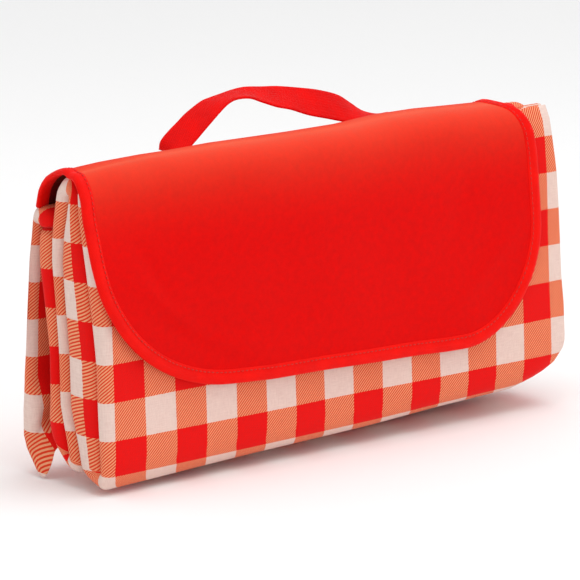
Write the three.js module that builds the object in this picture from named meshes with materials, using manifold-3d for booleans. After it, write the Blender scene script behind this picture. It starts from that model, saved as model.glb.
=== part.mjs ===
// A picnic blanket folded in four across and in five leaves, bound up by a flap cover with a
// webbing carry handle. It stands on its long folds. Millimetres, +Z up, the front faces -Y.
import * as THREE from "three";
import { mergeVertices } from "three/addons/utils/BufferGeometryUtils.js";
import Module from "manifold-3d";

// The quilted sheet: gingham on foam on a waterproof film, folded twice across the bundle.
const GAP = 0.3; // air between pieces that touch
const FABRIC = 0.7;
const FOAM = 1.4;
const FILM = 0.4;
const PLY = FABRIC + FOAM + FILM + 2 * GAP;
const PLY_PITCH = PLY + GAP;
const LEAF_DEPTH = PLY + 3 * PLY_PITCH;
const BODY_LEFT = -188;
const BODY_WIDTH = 372;
const EDGE_STEP = 1.5; // how far each free edge stands back from the one outside it

// The five leaves, from the front, and the bends between them.
const BEND_STEPS = 5; // odd, so that each bend has one flat facet at its crown
const BEND_INSIDE = GAP / 2;
const BEND_OUTSIDE = LEAF_DEPTH + BEND_INSIDE;
const LEAF_PITCH = LEAF_DEPTH + 2 * BEND_INSIDE;
const CROWN = BEND_OUTSIDE * Math.cos(Math.PI / 2 / BEND_STEPS);
const BOTTOM_AXIS_Z = CROWN;
const FRONT_AXIS_Z = 182;
const REAR_AXIS_Z = 157;
const LEAF_1_TOP = 188;
const REAR_LEAF_SPLAY = THREE.MathUtils.degToRad(6.5);
const REAR_LEAF_FOOT = 0.5; // height of the rear leaf's free edge above the ground
const LEAN = Math.tan(THREE.MathUtils.degToRad(2.5)); // the whole bundle leans back

// How finely the rounded lines are drawn, in segments for each arc.
const FOLD_SEGMENTS = 2;
const CREST_SEGMENTS = 3;
const CORNER_SEGMENTS = 6;

// The flap cover.
const FLAP_LEFT = -194;
const FLAP_RIGHT = 159;
const FLAP_BOTTOM = 55;
const FLAP_CORNER = 64;
const FLAP_STAND = 2.6; // from the front leaf to the lining
const LINING = 0.6;
const COVER = 1;
const FLAP_THICKNESS = LINING + GAP + COVER;
const BINDING_WIDTH = 9;
const BINDING_PROUD = 0.15;
const CREST_RADIUS = 12.6;
const CREST_GAP = 0.5;
const CREST_Z = FRONT_AXIS_Z + BEND_OUTSIDE + CREST_GAP; // underside of the lining over the crest
const HINGE_Z = CREST_Z - CREST_RADIUS;
const REAR_WRAP = THREE.MathUtils.degToRad(12);

// The hook and loop closure.
const PATCH_WIDTH = 46;
const PATCH_HEIGHT = 20;
const PATCH_Z = 78;
const PATCH_X = [-112, 80];
const LOOP = 1;
const HOOK = 0.7;

// The handle.
const WEB_WIDTH = 20;
const WEB_THICKNESS = 1.8;
const FOOT_RADIUS = 6;
const FOOT_MARGIN = 1; // beyond the webbing, in the outline that cuts its round feet
const WEB_REACH = 60; // above the webbing's highest point
const HANDLE_MIDDLE = -2.5;
const HANDLE_HALF_SPAN = 92;
const HANDLE_ALONG_SLOPE = 8;
const TAB_WIDTH = 26;
const TAB_LENGTH = 24;
const TAB_THICKNESS = 1.2;
const EAR_CLEARANCE = 1.4; // from the webbing's foot to the ear beside it

const RED = 0xdc0f05;
const materials = {
  gingham: { color: 0xe0462f, roughness: 0.85, metalness: 0 },
  foam: { color: 0xeeeeea, roughness: 0.95, metalness: 0 },
  film: { color: 0xb9bcc0, roughness: 0.4, metalness: 0 },
  cover: { color: RED, roughness: 0.8, metalness: 0 },
  lining: { color: 0x8c0a0a, roughness: 0.9, metalness: 0 },
  binding: { color: 0xf01e0a, roughness: 0.6, metalness: 0 },
  closure: { color: 0xb00c0a, roughness: 0.95, metalness: 0 },
  webbing: { color: 0xe60a05, roughness: 0.7, metalness: 0 },
};

const wasm = await Module();
wasm.setup();

const blanket = new THREE.Group();

function addMesh(name, geometry, material) {
  const mesh = new THREE.Mesh(geometry, new THREE.MeshStandardMaterial(materials[material]));
  mesh.name = name;
  blanket.add(mesh);
}

// ---- shaping helpers ----

// Six times the volume that a triangle soup encloses, negative when its faces point inwards.
function signedVolume(position) {
  const a = new THREE.Vector3();
  const b = new THREE.Vector3();
  const c = new THREE.Vector3();
  let sum = 0;
  for (let i = 0; i < position.count; i += 3) {
    a.fromBufferAttribute(position, i);
    b.fromBufferAttribute(position, i + 1);
    c.fromBufferAttribute(position, i + 2);
    sum += a.dot(b.cross(c));
  }
  return sum;
}

// Moves every vertex by place(x, y, z), leans the result back and keeps its faces outward.
function moulded(geometry, place) {
  const soup = geometry.index ? geometry.toNonIndexed() : geometry;
  const position = soup.getAttribute("position");
  for (let i = 0; i < position.count; i++) {
    const [x, y, z] = place(position.getX(i), position.getY(i), position.getZ(i));
    position.setXYZ(i, x, y + z * LEAN, z);
  }
  if (signedVolume(position) < 0) {
    const second = new THREE.Vector3();
    const third = new THREE.Vector3();
    for (let i = 0; i < position.count; i += 3) {
      second.fromBufferAttribute(position, i + 1);
      third.fromBufferAttribute(position, i + 2);
      position.setXYZ(i + 1, third.x, third.y, third.z);
      position.setXYZ(i + 2, second.x, second.y, second.z);
    }
  }
  return soup;
}

function extruded(shape, depth, steps = 1) {
  return new THREE.ExtrudeGeometry(shape, { depth, steps, bevelEnabled: false });
}

// A closed strip between two paths that run the same way.
function stripBetween(left, right) {
  return new THREE.Shape([...left, ...right.reverse()]);
}

function solidOf(geometry) {
  const bare = geometry.clone();
  bare.deleteAttribute("normal");
  bare.deleteAttribute("uv");
  const merged = mergeVertices(bare, 1e-4);
  return new wasm.Manifold(
    new wasm.Mesh({
      numProp: 3,
      vertProperties: new Float32Array(merged.attributes.position.array),
      triVerts: new Uint32Array(merged.index.array),
    }),
  );
}

function geometryOf(solid) {
  const mesh = solid.getMesh();
  const geometry = new THREE.BufferGeometry();
  geometry.setAttribute("position", new THREE.BufferAttribute(mesh.vertProperties, 3));
  geometry.setIndex(new THREE.BufferAttribute(mesh.triVerts, 1));
  return geometry;
}

// ---- the folded sheet ----

// One surface of the sheet across the bundle, seen from above, at a distance to the left of
// the middle of the ply. It runs from the outer free edge round both folds to the inner one.
function acrossPath(offset) {
  const ply = [0, 1, 2, 3].map((n) => PLY / 2 + n * PLY_PITCH);
  const middle = LEAF_DEPTH / 2;
  const leftX = 1.5 * PLY_PITCH + PLY / 2;
  const rightX = BODY_WIDTH - PLY_PITCH / 2 - PLY / 2;
  const half = Math.PI / 2;
  const path = new THREE.Path();
  path.moveTo(BODY_WIDTH - EDGE_STEP, ply[0] - offset);
  path.lineTo(leftX, ply[0] - offset);
  path.absarc(leftX, middle, 1.5 * PLY_PITCH + offset, -half, half, true);
  path.lineTo(rightX, ply[3] + offset);
  path.absarc(rightX, (ply[2] + ply[3]) / 2, PLY_PITCH / 2 + offset, half, -half, true);
  path.lineTo(leftX, ply[2] - offset);
  path.absarc(leftX, middle, PLY_PITCH / 2 - offset, half, -half, false);
  path.lineTo(BODY_WIDTH - 2 * EDGE_STEP - PLY_PITCH, ply[1] + offset);
  return path.getPoints(FOLD_SEGMENTS);
}

const layers = [
  { name: "gingham", material: "gingham", from: PLY / 2 - FABRIC, to: PLY / 2 },
  { name: "foam", material: "foam", from: FILM + GAP - PLY / 2, to: PLY / 2 - FABRIC - GAP },
  { name: "film", material: "film", from: -PLY / 2, to: FILM - PLY / 2 },
];

function acrossSection(layer) {
  return stripBetween(acrossPath(layer.to), acrossPath(layer.from));
}

// Distance from a leaf's rear face to a point of its section. Every second leaf is turned over.
function fromRear(leaf, y) {
  return leaf % 2 ? LEAF_DEPTH - y : y;
}

function frontOf(leaf) {
  return (leaf - 1) * LEAF_PITCH;
}

function uprightLeaf(leaf, layer, bottom, top) {
  return moulded(extruded(acrossSection(layer), top - bottom), (x, y, z) => [
    BODY_LEFT + x,
    frontOf(leaf) + LEAF_DEPTH - fromRear(leaf, y),
    bottom + z,
  ]);
}

// A point of the bend behind a leaf: side is -1 for a bend at the ground and 1 for one on top.
function bendPoint(leaf, y, angle, axisZ, side) {
  const radius = BEND_INSIDE + fromRear(leaf, y);
  const axisY = frontOf(leaf) + LEAF_DEPTH + BEND_INSIDE;
  return [axisY - radius * Math.cos(angle), axisZ + side * radius * Math.sin(angle)];
}

function bend(leaf, layer, axisZ, side, sweep) {
  const clear = GAP / BEND_OUTSIDE;
  const flat = extruded(acrossSection(layer), 1, BEND_STEPS);
  return moulded(flat, (x, y, z) => [
    BODY_LEFT + x,
    ...bendPoint(leaf, y, clear + z * (sweep - 2 * clear), axisZ, side),
  ]);
}

const REAR_SWEEP = Math.PI - REAR_LEAF_SPLAY;

// The rear leaf hangs from the last bend, splayed out behind the others.
function rearLeaf(layer) {
  const length = (REAR_AXIS_Z - REAR_LEAF_FOOT) / Math.cos(REAR_LEAF_SPLAY);
  return moulded(extruded(acrossSection(layer), length - GAP), (x, y, z) => {
    const [topY, topZ] = bendPoint(4, y, REAR_SWEEP, REAR_AXIS_Z, 1);
    const along = GAP + z;
    return [
      BODY_LEFT + x,
      topY + along * Math.sin(REAR_LEAF_SPLAY),
      topZ - along * Math.cos(REAR_LEAF_SPLAY),
    ];
  });
}

for (const layer of layers) {
  const spans = [
    [BOTTOM_AXIS_Z, LEAF_1_TOP],
    [BOTTOM_AXIS_Z, FRONT_AXIS_Z],
    [BOTTOM_AXIS_Z, FRONT_AXIS_Z],
    [BOTTOM_AXIS_Z, REAR_AXIS_Z],
  ];
  spans.forEach(([bottom, top], i) => {
    addMesh(`leaf_${i + 1}_${layer.name}`, uprightLeaf(i + 1, layer, bottom, top), layer.material);
  });
  addMesh(`leaf_5_${layer.name}`, rearLeaf(layer), layer.material);
  const bends = [
    ["front_foot_bend", 1, BOTTOM_AXIS_Z, -1, Math.PI],
    ["front_top_bend", 2, FRONT_AXIS_Z, 1, Math.PI],
    ["rear_foot_bend", 3, BOTTOM_AXIS_Z, -1, Math.PI],
    ["rear_top_bend", 4, REAR_AXIS_Z, 1, REAR_SWEEP],
  ];
  for (const [name, leaf, axisZ, side, sweep] of bends) {
    addMesh(`${name}_${layer.name}`, bend(leaf, layer, axisZ, side, sweep), layer.material);
  }
}

// ---- the flap cover ----

const topAxis = new THREE.Vector2(frontOf(2) + LEAF_DEPTH + BEND_INSIDE, FRONT_AXIS_Z);
const rearAxis = new THREE.Vector2(frontOf(4) + LEAF_DEPTH + BEND_INSIDE, REAR_AXIS_Z);
const slope = rearAxis.clone().sub(topAxis).normalize();
const slopeNormal = new THREE.Vector2(-slope.y, slope.x);
const TOP_RADIUS = CREST_Z - FRONT_AXIS_Z;

// The flap from the hinge over the crest and down to the rear bend, as (y, z) at a distance
// outside the lining's inner face.
function overTopPath(offset) {
  const crestY = CREST_RADIUS - FLAP_STAND;
  const normalAngle = slopeNormal.angle();
  const path = new THREE.Path();
  path.absarc(crestY, HINGE_Z, CREST_RADIUS + offset, Math.PI, Math.PI / 2, true);
  path.absarc(topAxis.x, topAxis.y, TOP_RADIUS + offset, Math.PI / 2, normalAngle, true);
  path.absarc(
    rearAxis.x,
    rearAxis.y,
    TOP_RADIUS + offset,
    normalAngle,
    normalAngle - REAR_WRAP,
    true,
  );
  return path.getPoints(CREST_SEGMENTS);
}

function overTop(inner, outer, left, right) {
  const section = stripBetween(overTopPath(inner), overTopPath(outer));
  return moulded(extruded(section, right - left), (y, z, x) => [left + x, y, z]);
}

const CLOTH_LEFT = FLAP_LEFT + BINDING_WIDTH + GAP;
const CLOTH_RIGHT = FLAP_RIGHT - BINDING_WIDTH - GAP;
const BINDING_INNER = -BINDING_PROUD;
const BINDING_OUTER = FLAP_THICKNESS + BINDING_PROUD;

addMesh("flap_top_lining", overTop(0, LINING, CLOTH_LEFT, CLOTH_RIGHT), "lining");
addMesh("flap_top_cover", overTop(LINING + GAP, FLAP_THICKNESS, CLOTH_LEFT, CLOTH_RIGHT), "cover");
addMesh(
  "flap_top_binding_left",
  overTop(BINDING_INNER, BINDING_OUTER, FLAP_LEFT, FLAP_LEFT + BINDING_WIDTH),
  "binding",
);
addMesh(
  "flap_top_binding_right",
  overTop(BINDING_INNER, BINDING_OUTER, FLAP_RIGHT - BINDING_WIDTH, FLAP_RIGHT),
  "binding",
);

// The front panel's edge, down one side, along the bottom and up the other, moved in by inset.
function panelEdge(inset) {
  const radius = FLAP_CORNER - inset;
  const low = FLAP_BOTTOM + FLAP_CORNER;
  const path = new THREE.Path();
  path.moveTo(FLAP_LEFT + inset, HINGE_Z - GAP);
  path.lineTo(FLAP_LEFT + inset, low);
  path.absarc(FLAP_LEFT + FLAP_CORNER, low, radius, Math.PI, 1.5 * Math.PI, false);
  path.absarc(FLAP_RIGHT - FLAP_CORNER, low, radius, 1.5 * Math.PI, 2 * Math.PI, false);
  path.lineTo(FLAP_RIGHT - inset, HINGE_Z - GAP);
  return path.getPoints(CORNER_SEGMENTS);
}

function frontPanel(shape, inner, outer) {
  return moulded(extruded(shape, outer - inner), (x, z, out) => [x, -FLAP_STAND - inner - out, z]);
}

const panelCloth = new THREE.Shape(panelEdge(BINDING_WIDTH + GAP));
const panelBinding = stripBetween(panelEdge(0), panelEdge(BINDING_WIDTH));
addMesh("flap_front_lining", frontPanel(panelCloth, 0, LINING), "lining");
addMesh("flap_front_cover", frontPanel(panelCloth, LINING + GAP, FLAP_THICKNESS), "cover");
addMesh("flap_front_binding", frontPanel(panelBinding, BINDING_INNER, BINDING_OUTER), "binding");

// ---- the hook and loop closure ----

function patch(x, front, thickness) {
  const box = new THREE.BoxGeometry(PATCH_WIDTH, thickness, PATCH_HEIGHT);
  box.translate(x, front + thickness / 2, PATCH_Z);
  return moulded(box, (px, py, pz) => [px, py, pz]);
}

["left", "right"].forEach((side, i) => {
  addMesh(`loop_patch_${side}`, patch(PATCH_X[i], -GAP - LOOP, LOOP), "closure");
  addMesh(`hook_patch_${side}`, patch(PATCH_X[i], -FLAP_STAND + GAP, HOOK), "closure");
});

// ---- the handle ----

const tabFoot = topAxis.clone().addScaledVector(slopeNormal, TOP_RADIUS + FLAP_THICKNESS + GAP);
const pivot = tabFoot
  .clone()
  .addScaledVector(slopeNormal, TAB_THICKNESS + 2 * GAP + FOOT_RADIUS)
  .addScaledVector(slope, HANDLE_ALONG_SLOPE);

// A tab is a patch sewn to the flap's rear slope with an ear that stands beside the webbing.
function handleTab(side) {
  const patchSection = new THREE.Shape(
    [
      [0, 0],
      [TAB_LENGTH, 0],
      [TAB_LENGTH, TAB_THICKNESS],
      [0, TAB_THICKNESS],
    ].map(([along, out]) =>
      tabFoot.clone().addScaledVector(slope, along).addScaledVector(slopeNormal, out),
    ),
  );
  const earSection = new THREE.Shape();
  const angle = slopeNormal.angle();
  earSection.absarc(pivot.x, pivot.y, FOOT_RADIUS, angle - Math.PI / 2, angle + Math.PI / 2, false);
  for (const along of [HANDLE_ALONG_SLOPE - FOOT_RADIUS, HANDLE_ALONG_SLOPE + FOOT_RADIUS]) {
    const root = tabFoot.clone().addScaledVector(slope, along);
    root.addScaledVector(slopeNormal, TAB_THICKNESS / 2);
    earSection.lineTo(root.x, root.y);
  }
  const earOut = (WEB_THICKNESS + TAB_THICKNESS) / 2 + EAR_CLEARANCE;
  const earX = HANDLE_MIDDLE + side * (HANDLE_HALF_SPAN + earOut);
  const upright = (section, width) =>
    moulded(extruded(section, width), (y, z, x) => [earX - width / 2 + x, y, z]);
  return geometryOf(
    solidOf(upright(patchSection, TAB_WIDTH)).add(
      solidOf(upright(new THREE.Shape(earSection.getPoints(CORNER_SEGMENTS)), TAB_THICKNESS)),
    ),
  );
}

addMesh("handle_tab_left", handleTab(-1), "webbing");
addMesh("handle_tab_right", handleTab(1), "webbing");

// The webbing's middle line as (x from its middle, height above the pivot), higher on the left.
const webLine = new THREE.SplineCurve(
  [
    [-HANDLE_HALF_SPAN, -FOOT_RADIUS],
    [-HANDLE_HALF_SPAN, 0],
    [-84, 9],
    [-60, 21],
    [-30, 27.5],
    [5, 25.5],
    [40, 18],
    [68, 9.5],
    [86, 5],
    [HANDLE_HALF_SPAN, 0],
    [HANDLE_HALF_SPAN, -FOOT_RADIUS],
  ].map(([x, z]) => new THREE.Vector2(HANDLE_MIDDLE + x, pivot.y + z)),
);
const WEB_STEPS = 30;

function webEdge(offset) {
  const edge = [];
  for (let i = 0; i <= WEB_STEPS; i++) {
    const t = i / WEB_STEPS;
    const along = webLine.getTangent(t);
    edge.push(webLine.getPoint(t).add(new THREE.Vector2(-along.y, along.x).multiplyScalar(offset)));
  }
  return edge;
}

// The webbing narrows to a round foot at each end, centred on the line that it swings about.
function webbing() {
  const band = stripBetween(webEdge(WEB_THICKNESS / 2), webEdge(-WEB_THICKNESS / 2));
  const full = moulded(extruded(band, WEB_WIDTH), (x, z, y) => [
    x,
    pivot.x - WEB_WIDTH / 2 + y,
    z,
  ]);
  const outline = new THREE.Shape();
  outline.absarc(pivot.x, pivot.y, FOOT_RADIUS, Math.PI, 2 * Math.PI, false);
  for (const [out, up] of [
    [1, FOOT_RADIUS],
    [1, WEB_REACH],
    [-1, WEB_REACH],
    [-1, FOOT_RADIUS],
  ]) {
    outline.lineTo(pivot.x + out * (WEB_WIDTH / 2 + FOOT_MARGIN), pivot.y + up);
  }
  const length = 2 * (HANDLE_HALF_SPAN + FOOT_MARGIN + WEB_THICKNESS);
  const mask = moulded(extruded(new THREE.Shape(outline.getPoints(CORNER_SEGMENTS)), length), (y, z, x) => [
    HANDLE_MIDDLE + x - length / 2,
    y,
    z,
  ]);
  return geometryOf(solidOf(full).intersect(solidOf(mask)));
}

addMesh("handle_webbing", webbing(), "webbing");

// The origin is at ground level, under the middle of the folded blanket.
const extent = new THREE.Box3().setFromObject(blanket, true);
const middle = extent.getCenter(new THREE.Vector3());
blanket.position.set(-middle.x, -middle.y, -extent.min.z);

const part = new THREE.Group();
part.add(blanket);
export default part;
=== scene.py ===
"""A folded gingham picnic blanket with a red flap cover and a webbing handle, built round its frame."""

import math

import bpy
import numpy as np
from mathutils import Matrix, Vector


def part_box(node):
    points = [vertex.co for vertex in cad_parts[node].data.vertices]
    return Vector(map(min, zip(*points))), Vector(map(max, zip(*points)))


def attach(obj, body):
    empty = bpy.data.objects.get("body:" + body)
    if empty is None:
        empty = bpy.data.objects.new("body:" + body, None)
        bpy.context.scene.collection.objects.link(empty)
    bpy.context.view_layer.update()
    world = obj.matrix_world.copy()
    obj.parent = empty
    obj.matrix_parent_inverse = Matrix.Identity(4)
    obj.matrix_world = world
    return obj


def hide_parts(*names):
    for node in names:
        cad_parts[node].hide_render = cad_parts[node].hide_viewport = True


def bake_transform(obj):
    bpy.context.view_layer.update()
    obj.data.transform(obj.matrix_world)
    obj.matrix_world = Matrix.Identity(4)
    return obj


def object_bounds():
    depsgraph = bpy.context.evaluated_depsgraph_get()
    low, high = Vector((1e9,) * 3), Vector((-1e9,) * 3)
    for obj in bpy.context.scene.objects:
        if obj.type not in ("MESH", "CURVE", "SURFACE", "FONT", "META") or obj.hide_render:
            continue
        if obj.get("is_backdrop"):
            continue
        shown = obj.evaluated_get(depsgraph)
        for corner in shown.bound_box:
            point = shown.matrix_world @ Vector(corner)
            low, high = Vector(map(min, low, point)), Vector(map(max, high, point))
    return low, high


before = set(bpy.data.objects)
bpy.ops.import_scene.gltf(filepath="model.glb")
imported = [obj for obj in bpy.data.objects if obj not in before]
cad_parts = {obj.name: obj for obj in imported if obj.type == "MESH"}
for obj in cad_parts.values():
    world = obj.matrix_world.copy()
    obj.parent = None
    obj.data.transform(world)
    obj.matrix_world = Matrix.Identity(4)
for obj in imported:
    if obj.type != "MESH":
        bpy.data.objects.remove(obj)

MM = 0.001  # metres in a millimetre
CAD_LOW, CAD_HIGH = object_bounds()


def unit(vectors):
    return vectors / np.linalg.norm(vectors, axis=-1, keepdims=True)


# ---- measures shared with the frame, in millimetres, before the bundle leans back ----

LEAN = math.tan(math.radians(2.5))  # how far the bundle leans back, per height
PLY = 3.1  # thickness of the quilted sheet
PLY_GAP = 0.3
PLY_PITCH = PLY + PLY_GAP
PLY_COUNT = 4
LEAF_COUNT = 5
LEAF_DEPTH = PLY + (PLY_COUNT - 1) * PLY_PITCH
LEAF_PITCH = LEAF_DEPTH + PLY_GAP
BODY_LEFT = -188
BODY_WIDTH = 372
BODY_RIGHT = BODY_LEFT + BODY_WIDTH
EDGE_STEP = 1.5  # how far a free edge stands back from the fold beside it
BEND_INSIDE = PLY_GAP / 2  # the inner radius of the bend between two leaves
FOOT_AXIS_Z = 12.79
FRONT_AXIS_Z = 182
REAR_AXIS_Z = 157
LEAF_1_TOP = 188
REAR_SPLAY = math.radians(6.5)  # how far the last leaf hangs away from the others
REAR_FOOT_Z = 0.5

CREST_RADIUS = 12.6
CREST_Z = 195.95
HINGE_Z = CREST_Z - CREST_RADIUS
FLAP_STAND = 2.6  # how far the flap's underside stands before the front
FLAP_LEFT, FLAP_RIGHT, FLAP_BOTTOM = -194, 159, 55
FLAP_CORNER_LEFT = (106, 92)  # how far the rounding reaches across and up
FLAP_CORNER_RIGHT = (68, 72)
# The middles (y, z) of the two bends that the flap lies over, and the slope from one to the other.
TOP_AXIS = np.array([2 * LEAF_PITCH - BEND_INSIDE, FRONT_AXIS_Z])
REAR_AXIS = np.array([4 * LEAF_PITCH - BEND_INSIDE, REAR_AXIS_Z])
SLOPE = unit(REAR_AXIS - TOP_AXIS)
SLOPE_NORMAL = np.array([-SLOPE[1], SLOPE[0]])
TOP_RADIUS = CREST_Z - FRONT_AXIS_Z
REAR_WRAP = math.radians(12)  # how far the flap wraps down round the rear bend

leaf_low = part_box("leaf_1_gingham")[0] / MM
OFFSET_X = leaf_low.x - BODY_LEFT
OFFSET_Y = leaf_low.y - FOOT_AXIS_Z * LEAN
OFFSET_Z = leaf_low.z - FOOT_AXIS_Z


def placed(points):
    """Points in millimetres before the lean, as points in the frame in metres."""
    p = np.asarray(points, float)
    y = p[..., 1] + p[..., 2] * LEAN + OFFSET_Y
    return np.stack([p[..., 0] + OFFSET_X, y, p[..., 2] + OFFSET_Z], -1) * MM


def smooth_step(low, high, value):
    t = np.clip((np.asarray(value, float) - low) / (high - low), 0, 1)
    return t * t * (3 - 2 * t)


# ---- meshes ----


def add_mesh(name, points, faces, materials, uv=None, face_materials=None):
    """A smooth shaded mesh of points already in the frame, turned to face outwards."""
    points, faces = np.asarray(points, float), [list(f) for f in faces]
    volume = 0.0
    for f in faces:
        a, b = points[f[0]], points[f[1]]
        for k in f[2:]:
            volume += np.dot(a, np.cross(b, points[k]))
            b = points[k]
    if volume < 0:
        faces = [f[::-1] for f in faces]
    mesh = bpy.data.meshes.new(name)
    mesh.from_pydata(points.tolist(), [], faces)
    for material in materials:
        mesh.materials.append(material)
    if face_materials is not None:
        mesh.polygons.foreach_set("material_index", np.asarray(face_materials, np.int32))
    if uv is not None:
        loops = np.zeros(len(mesh.loops), np.int32)
        mesh.loops.foreach_get("vertex_index", loops)
        layer = mesh.uv_layers.new(name="Cloth")
        layer.data.foreach_set("uv", np.asarray(uv, np.float32)[loops].ravel())
    mesh.polygons.foreach_set("use_smooth", [True] * len(faces))
    mesh.update()
    obj = bpy.data.objects.new(name, mesh)
    bpy.context.scene.collection.objects.link(obj)
    return obj


def closed_sheet(name, face, back, materials, uv, back_material=0):
    """Two grids of points that share their rim, as one closed sheet. back_material may be per cell."""
    rows, columns = face.shape[:2]
    front_index = np.arange(rows * columns).reshape(rows, columns)
    back_index = front_index.copy()
    inner = np.arange((rows - 2) * (columns - 2)).reshape(rows - 2, columns - 2)
    back_index[1:-1, 1:-1] = rows * columns + inner

    def cells(index):
        a, b, c, d = index[:-1, :-1], index[1:, :-1], index[1:, 1:], index[:-1, 1:]
        return np.stack([a, b, c, d], -1).reshape(-1, 4)

    points = np.concatenate([face.reshape(-1, 3), back[1:-1, 1:-1].reshape(-1, 3)])
    flat_uv = np.concatenate([uv.reshape(-1, 2), uv[1:-1, 1:-1].reshape(-1, 2)])
    faces = np.concatenate([cells(front_index), cells(back_index)[:, ::-1]])
    chosen = np.zeros((2, rows - 1, columns - 1))
    chosen[1] = back_material
    return add_mesh(name, points, faces.tolist(), materials, flat_uv, chosen.ravel())


def run_along(line):
    """The distance along a line of points, at each point."""
    return np.concatenate([[0], np.cumsum(np.linalg.norm(np.diff(line, axis=0), axis=1))])


def tube_faces(stations, around, base=0):
    """The faces of section loops joined one to the next and closed at both ends."""
    index = base + np.arange(stations * around).reshape(stations, around)
    here, there = index[:-1], index[1:]
    sides = np.stack([here, np.roll(here, -1, 1), np.roll(there, -1, 1), there], -1)
    return sides.reshape(-1, 4).tolist() + [index[0, ::-1].tolist(), index[-1].tolist()]


def swept(name, sections, material, uv=None):
    """A closed tube through section loops, given as stations x points x 3."""
    flat_uv = None if uv is None else uv.reshape(-1, 2)
    faces = tube_faces(*sections.shape[:2])
    return add_mesh(name, sections.reshape(-1, 3), faces, [material], flat_uv)


STITCH_PROFILE = [(0.0, 0.25), (0.2, 0.9), (0.5, 1.0), (0.8, 0.9), (1.0, 0.25)]  # place, width
STITCH_SIDES = 6
STITCH_SUNK = 0.6  # of the thread's radius
STITCH_WIDE, STITCH_HIGH = 1.1, 0.8  # the thread is pressed a little flat


def stitches(name, line, up, pitch, share, radius):
    """A row of raised threads along a line of points in the frame, with up given at each point.

    Of each pitch a share is thread and the rest is gap. Pitch and radius are in millimetres.
    """
    along = run_along(line)
    count = max(1, int(along[-1] / (pitch * MM)))
    starts = (np.arange(count) + (1 - share) / 2) * along[-1] / count
    length = share * along[-1] / count
    points, faces = [], []

    def at(distance, values):
        return np.array([np.interp(distance, along, values[:, k]) for k in range(3)])

    for start in starts:
        faces += tube_faces(len(STITCH_PROFILE), STITCH_SIDES, len(points))
        a, b = at(start, line), at(start + length, line)
        lift = unit(at(start + length / 2, up))
        side = unit(np.cross(b - a, lift))
        for place, width in STITCH_PROFILE:
            centre = a + (b - a) * place + lift * radius * MM * (width - STITCH_SUNK)
            for k in range(STITCH_SIDES):
                angle = 2 * math.pi * k / STITCH_SIDES
                around = side * math.cos(angle) * STITCH_WIDE + lift * math.sin(angle) * STITCH_HIGH
                points.append(centre + around * radius * MM * width)
    return add_mesh(name, points, faces, [THREAD])


# ---- materials ----


def linear(red, green, blue):
    """A colour given as 0 to 255 on screen, as the shader's own linear numbers."""

    def one(value):
        value /= 255
        return value / 12.92 if value <= 0.04045 else ((value + 0.055) / 1.055) ** 2.4

    return (one(red), one(green), one(blue), 1.0)


class Shader:
    """A node material that is put together one node at a time."""

    def __init__(self, name):
        self.material = bpy.data.materials.new(name)
        self.material.use_nodes = True
        self.tree = self.material.node_tree
        self.surface = self.tree.nodes["Principled BSDF"]

    def put(self, socket, value):
        if isinstance(value, bpy.types.NodeSocket):
            self.tree.links.new(value, socket)
        else:
            socket.default_value = value

    def node(self, kind, inputs=None, **settings):
        made = self.tree.nodes.new("ShaderNode" + kind)
        for key, value in settings.items():
            setattr(made, key, value)
        for key, value in (inputs or {}).items():
            self.put(made.inputs[key], value)
        return made

    def math(self, operation, *values):
        inputs = dict(enumerate(values))
        return self.node("Math", inputs, operation=operation).outputs[0]

    def weighted(self, first, share, second, second_share):
        """The sum of two values, each times its share."""
        scaled = self.math("MULTIPLY", second, second_share)
        return self.math("MULTIPLY_ADD", first, share, scaled)

    def mix(self, share, first, second, blend="MIX"):
        made = self.node("Mix", data_type="RGBA", blend_type=blend)
        self.put(made.inputs[0], share)
        self.put(made.inputs[6], first)
        self.put(made.inputs[7], second)
        return made.outputs[2]

    def noise(self, vector, scale, detail=3.0, roughness=0.55):
        inputs = {"Vector": vector, "Scale": scale, "Detail": detail, "Roughness": roughness}
        return self.node("TexNoise", inputs).outputs[0]

    def stretched(self, vector, scale):
        return self.node("Mapping", {"Vector": vector, "Scale": scale}).outputs[0]

    def ramp(self, value, low, high, to_low=0.0, to_high=1.0):
        inputs = {0: value, 1: low, 2: high, 3: to_low, 4: to_high}
        return self.node("MapRange", inputs).outputs[0]

    def bump(self, height, strength, distance, under=None):
        inputs = {"Height": height, "Strength": strength, "Distance": distance}
        if under is not None:
            inputs["Normal"] = under
        return self.node("Bump", inputs).outputs[0]

    def set(self, **values):
        names = {
            "color": "Base Color",
            "roughness": "Roughness",
            "normal": "Normal",
            "sheen": "Sheen Weight",
            "sheen_roughness": "Sheen Roughness",
            "sheen_tint": "Sheen Tint",
            "specular": "Specular IOR Level",
        }
        for key, value in values.items():
            self.put(self.surface.inputs[names[key]], value)
        return self.material


CHECK = 23.4 * MM
TWILL_PITCH = 2.1 * MM
RED = linear(236, 4, 1)
WHITE = linear(236, 211, 200)
HATCH_RED = linear(224, 56, 24)
HATCH_PALE = linear(243, 167, 123)
TWILL_OVER = (0.17, 0.33)  # where in the twill's wave the warp starts and ends to cover the weft
YARN_SHADE = linear(150, 40, 30)
SOIL = linear(245, 214, 196)
SHEEN_TINT = linear(255, 190, 150)


def cloth_uv(shader):
    """The place on the flat cloth in metres, as a vector and as its two numbers."""
    uv = shader.node("UVMap", uv_map="Cloth").outputs[0]
    parts = shader.node("SeparateXYZ", {0: uv}).outputs
    return uv, parts[0], parts[1]


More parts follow.
